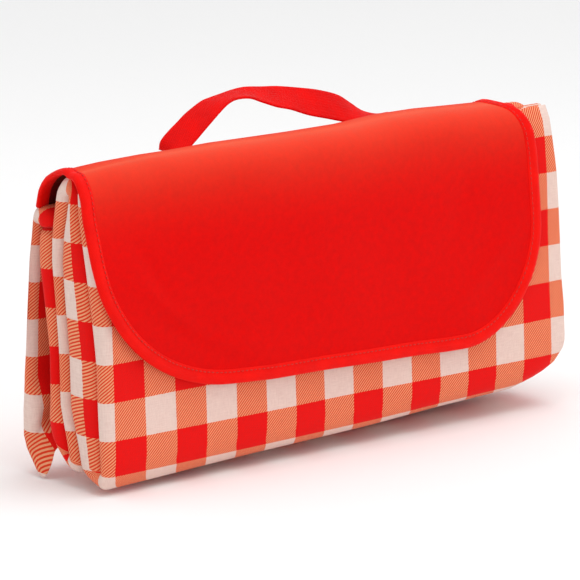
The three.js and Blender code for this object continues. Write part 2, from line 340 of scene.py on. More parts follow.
def gingham_material():
    """Two colour checks woven as a twill: where a red and a white yarn cross, both show as a hatch."""
    s = Shader("gingham")
    uv, u, v = cloth_uv(s)

    def red_band(coordinate):
        phase = s.math("FRACT", s.math("DIVIDE", coordinate, 2 * CHECK))
        return s.math("LESS_THAN", phase, 0.5)

    # The borders of the checks waver a little, as the yarns do.
    waver = s.math("MULTIPLY", s.math("SUBTRACT", s.noise(uv, 260.0, 2.0), 0.5), 0.6 * MM)
    column = red_band(s.math("ADD", u, waver))
    row = red_band(s.math("ADD", v, waver))
    diagonal = s.math("DIVIDE", s.math("SUBTRACT", u, v), TWILL_PITCH)
    wave = s.math("PINGPONG", diagonal, 0.5)
    over = s.ramp(wave, *TWILL_OVER)
    warp_red = s.math("MULTIPLY", column, over)
    weft_red = s.math("MULTIPLY", row, s.math("SUBTRACT", 1.0, over))
    redness = s.math("ADD", warp_red, weft_red)
    crossing = s.math("ABSOLUTE", s.math("SUBTRACT", column, row))
    pale = s.mix(crossing, WHITE, HATCH_PALE)
    color = s.mix(redness, pale, s.mix(crossing, RED, HATCH_RED))
    warp = s.noise(s.stretched(uv, (1500.0, 160.0, 1.0)), 1.0, 2.0)
    weft = s.noise(s.stretched(uv, (160.0, 1500.0, 1.0)), 1.0, 2.0)
    yarn = s.weighted(warp, 0.5, weft, 0.5)
    color = s.mix(s.ramp(yarn, 0.35, 0.65, 0.16, 0.0), color, YARN_SHADE, "MULTIPLY")
    soil = s.noise(uv, 16.0, 3.0)
    color = s.mix(s.ramp(soil, 0.4, 0.7, 0.0, 0.12), color, SOIL, "MULTIPLY")
    normal = s.bump(s.weighted(wave, 1.0, yarn, 0.6), 0.35, 0.35 * MM)
    rough = s.ramp(yarn, 0.3, 0.7, 0.74, 0.9)
    return s.set(color=color, roughness=rough, normal=normal, sheen=0.05, sheen_roughness=0.4,
                 specular=0.2)


def film_material():
    """The waterproof back: a pale silver film, embossed and creased."""
    s = Shader("film")
    uv = cloth_uv(s)[0]
    cells = s.node("TexVoronoi", {"Vector": uv, "Scale": 420.0}, feature="F1").outputs[0]
    creases = s.noise(uv, 45.0, 4.0)
    color = s.mix(s.ramp(creases, 0.3, 0.7), linear(176, 180, 186), linear(206, 209, 213))
    normal = s.bump(cells, 0.25, 0.2 * MM, s.bump(creases, 0.3, 1.5 * MM))
    return s.set(color=color, roughness=s.ramp(creases, 0.3, 0.7, 0.28, 0.5), normal=normal)


CREST_HIGHLIGHT_RUN = (38 * MM, 60 * MM, 140 * MM)  # where the painted highlight along the crest starts, peaks and ends
CREST_HIGHLIGHT_FALL = 3.5  # how steeply the painted highlight falls off after its peak
# The colour of the painted highlight along the crest, where light from above falls.
CREST_HIGHLIGHT = linear(248, 112, 76)


def painted_crest_highlight(shader, v, color):
    """The cloth's colour with a painted highlight along the crest, lighter where light from above falls
    on it.
    """
    start, peak, end = CREST_HIGHLIGHT_RUN
    rising = shader.ramp(v, start, peak)
    falling = shader.math("POWER", shader.ramp(v, peak, end, 1.0, 0.0), CREST_HIGHLIGHT_FALL)
    patchy = shader.ramp(shader.noise(cloth_uv(shader)[0], 14.0), 0.3, 0.7, 0.5, 0.62)
    share = shader.math("MULTIPLY", shader.math("MULTIPLY", rising, falling), patchy)
    return shader.mix(share, color, CREST_HIGHLIGHT)


def woven_material(name, light, dark, thread, grain, rough, painted_highlight=False):
    """A plain weave of one colour, with an optional painted highlight along the crest. thread is the
    yarn pitch and grain the size of the mottle.
    """
    s = Shader(name)
    uv, u, v = cloth_uv(s)

    def yarn(coordinate):
        return s.math("SINE", s.math("MULTIPLY", coordinate, 2 * math.pi / thread))

    weave = s.math("MULTIPLY", yarn(u), yarn(v))
    mottle = s.noise(uv, 1 / grain, 5.0, 0.7)
    fuzz = s.noise(s.stretched(uv, (900.0, 520.0, 1.0)), 1.0, 3.0)
    broad = s.noise(uv, 9.0, 2.0)
    color = s.mix(s.ramp(mottle, 0.34, 0.68), dark, light)
    color = s.mix(s.ramp(weave, -0.6, 0.8, 0.12, 0.0), color, dark)
    color = s.mix(s.ramp(broad, 0.35, 0.7, 0.14, 0.0), color, dark)
    # A painted highlight along the crest, standing in for the light from above.
    if painted_highlight:
        color = painted_crest_highlight(s, v, color)
    height = s.weighted(weave, 0.5, fuzz, 1.4)
    normal = s.bump(height, 0.4, 0.25 * MM, s.bump(mottle, 0.12, 0.9 * MM))
    rough = s.ramp(mottle, 0.3, 0.7, rough, rough + 0.14)
    return s.set(color=color, roughness=rough, normal=normal, sheen=0.1, sheen_roughness=0.35,
                 sheen_tint=SHEEN_TINT, specular=0.08)


def ribbed_material(name, light, dark, rib, slant, rough):
    """A narrow woven tape whose ribs run across it, leaning by slant."""
    s = Shader(name)
    uv, u, v = cloth_uv(s)
    lean = s.math("MULTIPLY", s.math("PINGPONG", v, 2.5 * MM), slant)
    phase = s.math("MULTIPLY", s.math("ADD", u, lean), 2 * math.pi / rib)
    ribs = s.math("SINE", phase)
    fuzz = s.noise(s.stretched(uv, (1200.0, 700.0, 1.0)), 1.0, 3.0)
    worn = s.noise(uv, 70.0, 3.0)
    shade = s.weighted(ribs, 0.22, worn, 0.9)
    color = s.mix(s.ramp(shade, 0.15, 0.75), dark, light)
    height = s.weighted(ribs, 0.5, fuzz, 0.8)
    normal = s.bump(height, 0.45, 0.3 * MM)
    rough = s.ramp(worn, 0.3, 0.7, rough, rough + 0.12)
    return s.set(color=color, roughness=rough, normal=normal, sheen=0.02, specular=0.08)


def thread_material():
    """Sewing thread, twisted."""
    s = Shader("thread")
    place = s.node("TexCoord").outputs["Object"]
    twist = s.noise(s.stretched(place, (2500.0, 2500.0, 2500.0)), 1.0, 1.0)
    color = s.mix(s.ramp(twist, 0.3, 0.7), linear(186, 6, 4), linear(240, 44, 26))
    return s.set(color=color, roughness=s.ramp(twist, 0.3, 0.7, 0.45, 0.65), specular=0.4)


def pile_material(name, dark, light, scale):
    """Hook or loop tape: a close pile, with scale tufts to a metre."""
    s = Shader(name)
    place = s.node("TexCoord").outputs["Object"]
    tufts = s.node("TexVoronoi", {"Vector": place, "Scale": scale}, feature="F1").outputs[0]
    fuzz = s.noise(place, scale * 1.7, 4.0, 0.7)
    color = s.mix(s.ramp(fuzz, 0.3, 0.7), dark, light)
    normal = s.bump(s.weighted(fuzz, 1.0, tufts, -1.2), 0.8, 0.5 * MM)
    return s.set(color=color, roughness=s.ramp(fuzz, 0.3, 0.7, 0.8, 0.95), normal=normal)


GINGHAM = gingham_material()
FILM = film_material()
# The cover's crest carries a painted highlight.
COVER = woven_material(
    "cover", linear(231, 2, 0), linear(216, 0, 0), 0.9 * MM, 5 * MM, 0.62, painted_highlight=True
)
LINING = woven_material("lining", linear(120, 8, 8), linear(78, 3, 4), 0.8 * MM, 4 * MM, 0.8)
BINDING = ribbed_material("binding", linear(253, 18, 5), linear(228, 4, 0), 0.8 * MM, 0.5, 0.5)
WEBBING = ribbed_material("webbing", linear(242, 5, 1), linear(205, 0, 0), 1.3 * MM, 0.8, 0.55)
THREAD = thread_material()
LOOP = pile_material("loop", linear(120, 6, 6), linear(180, 20, 16), 900.0)
HOOK = pile_material("hook", linear(90, 5, 5), linear(150, 12, 10), 1500.0)

# ---- the quilted sheet, folded in four across and in five leaves ----

DEPTH_TABLE_Z = [0, 25, 50, 83, 110, 137, 155, 172, 190]
# How far the faces between the leaves shift back at the left end: a row for each height, and a
# column for each face from the front of leaf 1 to the rear of leaf 4.
LEFT_SHIFT = np.array([
    [0, -4, 2, -1, 2], [0, -3, 5, 2, 6], [0, -2, 12, 7, 3.5],
    [0, -1.5, 12, 7, 3], [0, 2, 14, 8.5, 6.5], [4, 6, 15.5, 11, 10.5],
    [9, 9, 13, 10, 9], [13, 11, 8, 7, 7], [16, 10, 4, 3, 3],
])
# The same for the front and the rear of leaf 5.
REAR_TABLE_Z = [0, 20, 40, 60, 83, 105, 137, 157, 172]
REAR_SHIFT = np.array([
    [-13, -14], [4, 3], [2, 5], [10, 4], [11, 3], [12, 2], [11, 2], [9, 0], [7, -2]
])
LEFT_FADE = 130  # how far the left end's shifts reach
# How far the foot is raised before the first RISE_DEPTH, and behind the second.
RISE_X = [-195, -39, 26, 84, 143, 164, 177, 184]
FRONT_RISE = [4, 8, 9.8, 12.8, 14.8, 19.8, 26, 36]
REAR_RISE = [0, 0, 2, 5, 7.5, 10, 15, 24]
RISE_DEPTH = (18, 42)
RISE_FADE, RISE_FADE_GROWTH = 40, 2.2  # a rise is gone at this height, and higher if it is large
TUCK, TUCK_TOP, TUCK_DEPTH = 6, 27, 13  # how far the front face curves back above its foot
REAR_TUCK, REAR_TUCK_TOP = 5, 26  # the same for the last leaf, forwards
# How far the right end draws in.
CORNER_Z = [60, 81, 105, 129, 152, 175, 188, 195, 197]
CORNER_IN = [0, 1.6, 2.6, 3.7, 5.2, 8.7, 9, 14, 24]
CORNER_FROM = BODY_RIGHT - 70
HEEL_DEPTH = [1, 2, 3, 4]
HEEL_RISE = [0, 4, 12, 26]  # how far the foot is raised behind at the left end
HEEL_FADE = 80
HOLLOW_X = [-187, -184, -179, -150, -90, 0]
HOLLOW_RISE = [0, 8, 24, 20, 8, 0]  # how far the rear leaf's foot is raised beside its left corner
SHOULDER_RISE, SHOULDER_DEPTH, SHOULDER_Z = 4, (4.3, 4.8), (150, 163)  # the rear bend's left end
CREST_FADE_Z = (150, 190)
CREST_X = [-194, -161, -132, -80, -20, 20, 52, 84, 109, 151, 160]
CREST_RISE = [-4.9, -1.8, 0.2, 1.4, 0.4, 0.3, 2.1, 1.9, 0.6, -1.3, -2]
PEAK_X, PEAK_DEPTH = (140, 158), (0.9, 1.1)  # where the front leaf stands up beside the flap
PEAK_RISE, PEAK_RISE_Z = 8, (140, 188)
PEAK_BACK, PEAK_BACK_Z = 5, (176, 190)
WAVE, FINE_WAVE = 0.45, 0.3  # the slow waves of the faces
WAVE_START_Z, WAVE_END_Z = (0, 30), (150, 180)


def table_shift(table_z, table, depth, z):
    """A shift read from a table, linear between its heights and eased between its depths."""
    columns = np.stack([np.interp(z, table_z, table[:, k]) for k in range(table.shape[1])], -1)
    depth = np.clip(depth, 0, table.shape[1] - 1.001)
    k = np.floor(depth).astype(int)
    low = np.take_along_axis(columns, k[..., None], -1)[..., 0]
    high = np.take_along_axis(columns, k[..., None] + 1, -1)[..., 0]
    return low + (high - low) * smooth_step(0, 1, depth - k)


def foot_rise(rise, z):
    """A rise of the foot at a height, where it has partly died away."""
    return rise * np.clip(1 - z / (RISE_FADE + RISE_FADE_GROWTH * rise), 0, 1) ** 2


def crest_rise(x, z):
    """How far the top stands above its level line, for the bundle and the flap alike."""
    return np.interp(x, CREST_X, CREST_RISE) * smooth_step(*CREST_FADE_Z, z)


def left_share(x, fade):
    """1 at the left end, falling to 0 over a distance."""
    return 1 - smooth_step(BODY_LEFT, BODY_LEFT + fade, x)


def settled_front(x, y, z, depth):
    """The shifts (dy, dz) that sagging and handling give leaves 1 to 4."""
    dy = left_share(x, LEFT_FADE) * table_shift(DEPTH_TABLE_Z, LEFT_SHIFT, depth, z)
    dy = dy + TUCK * np.clip(1 - z / TUCK_TOP, 0, 1) ** 2 * np.clip(1 - y / TUCK_DEPTH, 0, 1)
    at_front, at_rear = np.interp(x, RISE_X, FRONT_RISE), np.interp(x, RISE_X, REAR_RISE)
    rise = at_front + (at_rear - at_front) * smooth_step(*RISE_DEPTH, y)
    heel = np.interp(depth, HEEL_DEPTH, HEEL_RISE) * left_share(x, HEEL_FADE)
    dz = foot_rise(rise, z) + foot_rise(heel, z)
    peak = smooth_step(*PEAK_X, x) * (1 - smooth_step(*PEAK_DEPTH, depth))
    dz = dz + PEAK_RISE * peak * smooth_step(*PEAK_RISE_Z, z)
    dy = dy + PEAK_BACK * peak * smooth_step(*PEAK_BACK_Z, z) * (1 - np.clip(depth, 0, 1))
    return dy, dz


def settled_rear(x, z, depth):
    """The shifts (dy, dz) of leaf 5, which follows leaf 4 where it touches it."""
    left = left_share(x, LEFT_FADE)
    front_dy = table_shift(DEPTH_TABLE_Z, LEFT_SHIFT, depth, z)
    rear_dy = table_shift(REAR_TABLE_Z, REAR_SHIFT, depth - 4, z)
    dy = left * np.where(depth < 4, front_dy, rear_dy)
    dy = dy - REAR_TUCK * (1 - left) * (1 - smooth_step(0, REAR_TUCK_TOP, z))
    shoulder = smooth_step(*SHOULDER_DEPTH, depth) * smooth_step(*SHOULDER_Z, z)
    dz = foot_rise(np.interp(x, HOLLOW_X, HOLLOW_RISE), z) + SHOULDER_RISE * left * shoulder
    return dy, dz


def settled(x, y, z, depth, rear):
    """The shifts (dx, dy, dz) that sagging and handling give the folded sheet."""
    dy, dz = settled_rear(x, z, depth) if rear else settled_front(x, y, z, depth)
    wave = WAVE * np.sin(x / 31 + 1.3) * np.sin(z / 37 + 0.4) + FINE_WAVE * np.sin(x / 17 + z / 23)
    dy = dy + wave * smooth_step(*WAVE_START_Z, z) * (1 - smooth_step(*WAVE_END_Z, z))
    share = np.clip((x - CORNER_FROM) / (BODY_RIGHT - CORNER_FROM), 0, 1)
    dx = -np.interp(z, CORNER_Z, CORNER_IN) * share**2
    return dx, dy, dz + crest_rise(x, z)


def across_stations():
    """The path across the bundle: points, normals towards the gingham, distance and thickness."""
    ply = [PLY / 2 + n * PLY_PITCH for n in range(PLY_COUNT)]
    left_x, right_x = 1.5 * PLY_PITCH + PLY / 2, BODY_WIDTH - PLY_PITCH / 2 - PLY / 2
    rows = []  # x, y, normal x, normal y

    def straight(x0, x1, y, normal, step):
        count = max(2, round(abs(x1 - x0) / step))
        for i in range(count + 1):
            rows.append((x0 + (x1 - x0) * i / count, y, 0, normal))

    def arc(x, y, radius, start, end, outward, steps):
        for i in range(1, steps):
            angle = math.radians(start + (end - start) * i / steps)
            c, s = math.cos(angle), math.sin(angle)
            rows.append((x + radius * c, y + radius * s, c * outward, s * outward))

    fine, coarse = 7.8, 15.6  # outer plies, and plies hidden inside
    straight(BODY_WIDTH - EDGE_STEP, left_x, ply[0], -1, fine)
    arc(left_x, LEAF_DEPTH / 2, 1.5 * PLY_PITCH, 270, 90, 1, 12)
    straight(left_x, right_x, ply[3], 1, fine)
    arc(right_x, (ply[2] + ply[3]) / 2, PLY_PITCH / 2, 90, -90, 1, 6)
    straight(right_x, left_x, ply[2], -1, coarse)
    arc(left_x, LEAF_DEPTH / 2, PLY_PITCH / 2, 90, 270, -1, 5)
    straight(left_x, BODY_WIDTH - 2 * EDGE_STEP - PLY_PITCH, ply[1], 1, coarse)
    rows = np.array(rows)
    return with_hems(rows, run_along(rows[:, :2]))


HEM = 8  # how far the gingham is turned over onto the back at a free edge
HEM_ROUND = [0.12, 0.35, 0.8, PLY / 2]  # close stations where a free edge is rounded


def hem_thickness(distance):
    """Half the sheet's thickness at a distance from its free edge, which is rounded."""
    inside = np.clip(distance / (PLY / 2), 0, 1)
    return PLY / 2 * np.sqrt(1 - (1 - inside) ** 2)


def with_hems(rows, distance):
    """Adds close stations at both free edges, and the half thickness at every station."""
    total = distance[-1]
    both_edges = np.concatenate([distance, HEM_ROUND, total - np.array(HEM_ROUND)])
    wanted = np.unique(both_edges.round(6))
    rows = np.stack([np.interp(wanted, distance, rows[:, k]) for k in range(rows.shape[1])], 1)
    half = hem_thickness(np.minimum(wanted, total - wanted))
    return rows, wanted, half


# Along the sheet, the pattern's own coordinate is START + SIGN * (height - GROUND_TO_ROW) on a leaf.
GROUND_TO_ROW = 11.6
PATTERN_START = [0, -46.8, -421.2, -488.4, -833.9]
PATTERN_SIGN = [1, -1, 1, -1, 1]
COLUMN_SHIFT = [0, -14.0, -6.0, -23.4, 0]
PATTERN_LEFT = 363.5  # the column coordinate at the outer free edge
PATTERN_STAY = 0.6  # the share of a sideways shift that the pattern doesn't follow
LEAF_STEP = 7.5
BEND_STEPS = 12


def from_rear(leaf, y):
    """How far a place in the sheet's section lies before a leaf's rear: every other leaf is turned."""
    return LEAF_DEPTH - y if leaf % 2 else y


def front_of(leaf):
    return (leaf - 1) * LEAF_PITCH


def bend_point(leaf, y, angle, axis_z, side):
    """(y, z) in the bend behind a leaf. side is 1 for a bend at the top and -1 at the foot."""
    radius = BEND_INSIDE + from_rear(leaf, y)
    axis_y = front_of(leaf) + LEAF_DEPTH + BEND_INSIDE
    return axis_y - radius * math.cos(angle), axis_z + side * radius * math.sin(angle)


def leaf_stations(leaf, low, high, downward):
    """Stations up or down a leaf as (kind, leaf, height), closer at a free end's rounding."""
    count = round((high - low) / LEAF_STEP)
    heights = list(np.linspace(low, high, count + 1))
    if leaf == 1:
        heights += [high - d for d in HEM_ROUND]
    if leaf == LEAF_COUNT:
        heights += [low + d for d in HEM_ROUND]
    heights = sorted(set(round(h, 6) for h in heights), reverse=downward)
    return [("leaf", leaf, h) for h in heights]


def bend_stations(leaf, axis_z, side, sweep):
    """Stations round the bend behind a leaf as (kind, leaf, angle, axis_z, side, sweep)."""
    angles = np.linspace(0, sweep, BEND_STEPS + 1)
    return [("bend", leaf, angle, axis_z, side, sweep) for angle in angles]


REAR_SWEEP = math.pi - REAR_SPLAY
# A leaf's end is left out where a bend's end is already there.
FRONT_STATIONS = (
    leaf_stations(1, FOOT_AXIS_Z, LEAF_1_TOP, True)[:-1]
    + bend_stations(1, FOOT_AXIS_Z, -1, math.pi)
    + leaf_stations(2, FOOT_AXIS_Z, FRONT_AXIS_Z, False)[1:-1]
    + bend_stations(2, FRONT_AXIS_Z, 1, math.pi)
    + leaf_stations(3, FOOT_AXIS_Z, FRONT_AXIS_Z, True)[1:-1]
    + bend_stations(3, FOOT_AXIS_Z, -1, math.pi)
    + leaf_stations(4, FOOT_AXIS_Z, REAR_AXIS_Z, False)[1:]
)
REAR_STATIONS = bend_stations(4, REAR_AXIS_Z, 1, REAR_SWEEP)
REAR_STATIONS += leaf_stations(LEAF_COUNT, REAR_FOOT_Z, REAR_AXIS_Z, True)[1:]


def station_point(station, y):
    """(y, z, depth) of a point of the section at a station. Depth counts leaves from the front."""
    if station[0] == "leaf":
        leaf, height = station[1:]
        if leaf == LEAF_COUNT:
            top_y, top_z = bend_point(4, y, REAR_SWEEP, REAR_AXIS_Z, 1)
            along = (REAR_AXIS_Z - height) / math.cos(REAR_SPLAY)
            point_y = top_y + along * math.sin(REAR_SPLAY)
            point_z = top_z - along * math.cos(REAR_SPLAY)
            return point_y, point_z, 4 + y / LEAF_DEPTH
        inside = LEAF_DEPTH - from_rear(leaf, y)
        return front_of(leaf) + inside, height + 0 * y, (leaf - 1) + inside / LEAF_DEPTH
    leaf, angle, axis_z, side = station[1:5]
    point_y, point_z = bend_point(leaf, y, angle, axis_z, side)
    return point_y, point_z, point_y / LEAF_PITCH


def pattern_at(station):
    """(along, column shift, sign) of the pattern at a station."""
    if station[0] == "leaf":
        leaf, height = station[1:]
        sign = PATTERN_SIGN[leaf - 1]
        along = PATTERN_START[leaf - 1] + sign * (height - GROUND_TO_ROW)
        return along, COLUMN_SHIFT[leaf - 1], sign
    _, leaf, angle, axis_z, _, sweep = station
    share = angle / sweep
    ends = [pattern_at(("leaf", k, axis_z)) for k in (leaf, leaf + 1)]
    return tuple(a + (b - a) * share for a, b in zip(*ends))


def quilted_sheet(name, stations, rear):
    """The sheet along some stations, gingham on one side and film on the other.

    The front part's free edge is its first station and the rear part's its last. Each thins to
    nothing where they meet.
    """
    rows, distance, half = across_stations()
    columns, count = len(rows), len(stations)
    face, back = np.zeros((count, columns, 3)), np.zeros((count, columns, 3))
    uv = np.zeros((count, columns, 2))
    run = run_along([np.array(station_point(s, LEAF_DEPTH / 2)[:2]) for s in stations])
    from_edge = run[-1] - run if rear else run
    meeting = 0 if rear else count - 1
    for i, station in enumerate(stations):
        share = 0.0 if i == meeting else hem_thickness(from_edge[i]) / (PLY / 2)
        along, shift, sign = pattern_at(station)
        for grid, out in ((face, 1), (back, -1)):
            offset = out * half * share
            x = rows[:, 0] + rows[:, 2] * offset + BODY_LEFT
            y, z, depth = station_point(station, rows[:, 1] + rows[:, 3] * offset)
            dx, dy, dz = settled(x, y, z, depth, rear)
            grid[i] = np.stack([x + dx, y + dy, z + dz], -1)
            if out == 1:
                facing = np.where(rows[:, 1] < LEAF_DEPTH / 2, 1, -1)
                uv[i, :, 0] = PATTERN_LEFT - distance + shift + PATTERN_STAY * dx * facing
                uv[i, :, 1] = along + sign * dz
    back_material = np.ones((count - 1, columns - 1))
    back_material[:, np.minimum(distance, distance[-1] - distance)[:-1] < HEM] = 0
    back_material[(from_edge[1:] if rear else from_edge[:-1]) < HEM] = 0
    made = closed_sheet(name, placed(face), placed(back), [GINGHAM, FILM], uv * MM, back_material)
    return made, (distance[-1] * MM, run[-1] * MM)


sheet, sheet_flat = quilted_sheet("quilted_sheet", FRONT_STATIONS, False)
rear_sheet, rear_flat = quilted_sheet("quilted_sheet_rear_leaf", REAR_STATIONS, True)
FRONT_PARTS = [f"leaf_{n}" for n in range(1, LEAF_COUNT)]
FRONT_PARTS += ["front_foot_bend", "front_top_bend", "rear_foot_bend"]
REAR_PARTS = ["rear_top_bend", f"leaf_{LEAF_COUNT}"]
for piece, parts in ((sheet, FRONT_PARTS), (rear_sheet, REAR_PARTS)):
    layers = ("gingham", "foam", "film")
    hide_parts(*(f"{part}_{layer}" for part in parts for layer in layers))
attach(sheet, "bundle")
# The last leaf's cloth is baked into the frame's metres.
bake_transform(rear_sheet)

# ---- the flap cover ----

FLAP_SPARE = 12  # how far the profile runs on past the flap's foot
PROFILE_STEP = 1.0
PROFILE_SOFT = 9  # steps over which the profile's joins are smoothed


def flap_profile():
    """The flap's underside (y, z) from its rear edge over the crest to past its foot."""
    lean = math.atan2(SLOPE_NORMAL[1], SLOPE_NORMAL[0])
    line = []

    def arc(centre, radius, start, end):
        steps = max(2, round(radius * abs(end - start)))
        for k in range(steps + 1):
            angle = start + (end - start) * k / steps
            line.append(centre + radius * np.array([math.cos(angle), math.sin(angle)]))

    arc(REAR_AXIS, TOP_RADIUS, lean - REAR_WRAP, lean)
    arc(TOP_AXIS, TOP_RADIUS, lean, math.pi / 2)
    arc(np.array([CREST_RADIUS - FLAP_STAND, HINGE_Z]), CREST_RADIUS, math.pi / 2, math.pi)
    line.append(np.array([-FLAP_STAND, FLAP_BOTTOM - FLAP_SPARE]))
    line = np.array(line)
    run = run_along(line)
    at = np.arange(0, run[-1], PROFILE_STEP)
    line = np.stack([np.interp(at, run, line[:, k]) for k in (0, 1)], 1)
    padded = np.concatenate([[line[0]] * PROFILE_SOFT, line, [line[-1]] * PROFILE_SOFT])
    kernel = np.hanning(2 * PROFILE_SOFT + 1)
    kernel /= kernel.sum()
    smooth = np.stack([np.convolve(padded[:, k], kernel, "valid") for k in (0, 1)], 1)
    share = smooth_step(0, PROFILE_SOFT, np.minimum(at, at[-1] - at))[:, None]
    return line + (smooth - line) * share


PROFILE = flap_profile()
PROFILE_RUN = run_along(PROFILE)
PROFILE_TANGENT = unit(np.gradient(PROFILE, axis=0))
PROFILE_NORMAL = np.stack([PROFILE_TANGENT[:, 1], -PROFILE_TANGENT[:, 0]], 1)
PAST_CREST = 60  # from this row of the profile on, it only falls
HINGE_RUN = float(np.interp(-HINGE_Z, -PROFILE[PAST_CREST:, 1], PROFILE_RUN[PAST_CREST:]))
FLAP_LENGTH = HINGE_RUN + HINGE_Z - FLAP_BOTTOM
FRONT_RUN = (HINGE_RUN - 10, HINGE_RUN + 40)  # where the flap's front begins to puff out and crease
BELLY = 1.8
RIPPLE, FINE_RIPPLE = 0.5, 0.35
RECEDE_Y = (-3, 38)  # how far back the flap follows the front leaf's shift at the left end

# How the left end of the rear slope bows out from the straight slope.
BOW_RUN = [0, 5, 10, 16, 24, 32, 42, 55]
BOW_Y = [-4, -2.2, -0.3, 1.2, 2, 1.6, 0.8, 0]
BOW_Z = [4, 6.4, 8, 8.8, 8.6, 7, 3.6, 0]
BOW_FADE = 90
# Soft creases in the flap's front: middle x, middle height, angle, half length, half width, height.
CREASES = [
    (-142, 112, -38, 30, 3.5, 1.6),
    (-128, 92, -25, 34, 4.5, -1.4),
    (-104, 84, -12, 30, 5.0, 1.6),
    (-150, 136, -60, 26, 4.0, -1.2),
    (-60, 96, 8, 40, 7.0, -1.0),
    (118, 104, 40, 34, 6.0, 1.2),
    (96, 150, 66, 40, 8.0, -1.0),
]


def crease_height(x, z):
    """The height that the creases add to the flap's front at a place on it."""
    total = np.zeros_like(x)
    for middle_x, middle_z, angle, half_length, half_width, height in CREASES:
        c, s = math.cos(math.radians(angle)), math.sin(math.radians(angle))
        along = ((x - middle_x) * c + (z - middle_z) * s) / half_length
        across = ((z - middle_z) * c - (x - middle_x) * s) / half_width
        total += height * np.exp(-(along**2) - across**2)
    return total


def flap_point(x, run, out):
    """A point of the flap at x, at a run from its rear edge, at a distance out from its underside."""
    x, run, out = np.broadcast_arrays(*(np.asarray(v, float) for v in (x, run, out)))
    y, z = (np.interp(run, PROFILE_RUN, PROFILE[:, k]) for k in (0, 1))
    ny, nz = (np.interp(run, PROFILE_RUN, PROFILE_NORMAL[:, k]) for k in (0, 1))
    across = np.clip((x - FLAP_LEFT) / (FLAP_RIGHT - FLAP_LEFT), 0, 1)
    puff = BELLY * np.sin(across * math.pi) + crease_height(x, z)
    puff = puff + RIPPLE * np.sin(x / 27 + run / 60) + FINE_RIPPLE * np.sin(x / 13 - run / 31 + 1)
    out = out + puff * smooth_step(*FRONT_RUN, run)
    y, z = y + ny * out, z + nz * out
    recede = left_share(x, LEFT_FADE) * np.interp(z, DEPTH_TABLE_Z, LEFT_SHIFT[:, 0])
    bow = left_share(x, BOW_FADE)
    dy = recede * (1 - smooth_step(*RECEDE_Y, y)) + bow * np.interp(run, BOW_RUN, BOW_Y)
    dz = crest_rise(x, z) + bow * np.interp(run, BOW_RUN, BOW_Z)
    return np.stack([x, y + dy, z + dz], -1)


# How much higher the foot hangs than the flat cut, and how far the two sides are drawn in.
FOOT_X = [FLAP_LEFT, -91, -63, -20, 17, 53, 79, 100, FLAP_RIGHT]
FOOT_UP = [3.0, 3.0, 1.5, 0.5, -0.9, -2.0, -3.2, -3.5, -3.5]
SIDE_RUN = [0, HINGE_RUN - 20, HINGE_RUN - 11, HINGE_RUN, HINGE_RUN + 14, HINGE_RUN + 62, FLAP_LENGTH]
LEFT_SIDE_IN = [7, 4, 3, 2, 1, 0, 0]
RIGHT_SIDE_IN = [14, 13.5, 9, 4.5, 2, 0, 0]
SIDE_THIRDS = 3  # the drawing in has faded out a third of the way across
SIDE_STEPS, CORNER_STEPS, FOOT_STEPS = 36, 24, 40
STRAIGHT_ROWS, SHEET_COLUMNS = 44, 90


def flap_outline(inset):
    """The flap's edge as (x, run), from its rear left corner round the front to its rear right."""

    def half(x, inwards, corner):
        """One side and its rounded corner, from the rear to the foot."""
        wide, high = corner
        low = FLAP_LENGTH - high
        points = [(x + inwards * inset, low * k / SIDE_STEPS) for k in range(SIDE_STEPS)]
        for angle in np.linspace(0, math.pi / 2, CORNER_STEPS + 1):
            across = wide - (wide - inset) * math.cos(angle)
            points.append((x + inwards * across, low + (high - inset) * math.sin(angle)))
        return points

    left = half(FLAP_LEFT, 1, FLAP_CORNER_LEFT)
    right = half(FLAP_RIGHT, -1, FLAP_CORNER_RIGHT)[::-1]
    foot = np.linspace(left[-1], right[0], FOOT_STEPS + 1)[1:-1]
    return flap_warp(np.concatenate([left, foot, right]))


def flap_warp(points):
    """The flat cut as it hangs: the foot is higher at the left and the sides draw in."""
    x, run = points[..., 0], points[..., 1]
    foot = smooth_step(HINGE_RUN, FLAP_LENGTH, run)
    new_run = run - np.interp(x, FOOT_X, FOOT_UP) * foot
    share = (x - FLAP_LEFT) / (FLAP_RIGHT - FLAP_LEFT)
    drawn = np.interp(run, SIDE_RUN, LEFT_SIDE_IN) * np.clip(1 - SIDE_THIRDS * share, 0, 1)
    at_right = np.clip(1 - SIDE_THIRDS * (1 - share), 0, 1)
    drawn = drawn - np.interp(run, SIDE_RUN, RIGHT_SIDE_IN) * at_right
    return np.stack([x + drawn, new_run], -1)


def corner_in(run, corner, inset):
    """How far the flap's cut edge stands in from its side at a run, where its corner is rounded."""
    wide, high = corner
    down = (run - (FLAP_LENGTH - high)) / (high - inset)
    return wide - (wide - inset) * math.sqrt(1 - min(max(down, 0), 1) ** 2)


def flap_sheet(name, low, high, material):
    """One cloth of the flap, between two distances from the underside."""
    tall = FLAP_CORNER_LEFT[1]
    straight = FLAP_LENGTH - tall
    turn = np.sin(np.linspace(0, math.pi / 2, CORNER_STEPS + 1))
    rows = np.linspace(0, straight, STRAIGHT_ROWS, endpoint=False)
    rows = np.concatenate([rows, straight + (tall - CLOTH_INSET) * turn])
    columns = np.linspace(0, 1, SHEET_COLUMNS)
    grid = np.zeros((len(rows), len(columns), 2))
    for i, run in enumerate(rows):
        left = FLAP_LEFT + corner_in(run, FLAP_CORNER_LEFT, CLOTH_INSET)
        right = FLAP_RIGHT - corner_in(run, FLAP_CORNER_RIGHT, CLOTH_INSET)
        grid[i, :, 0] = left + (right - left) * columns
        grid[i, :, 1] = run
    flat = flap_warp(grid)
    rim = np.zeros(grid.shape[:2])
    rim[1:-1, 1:-1] = 1
    middle, half = (low + high) / 2, (high - low) / 2 * rim
    face = flap_point(flat[..., 0], flat[..., 1], middle + half)
    back = flap_point(flat[..., 0], flat[..., 1], middle - half)
    return closed_sheet(name, placed(face), placed(back), [material], grid * MM)


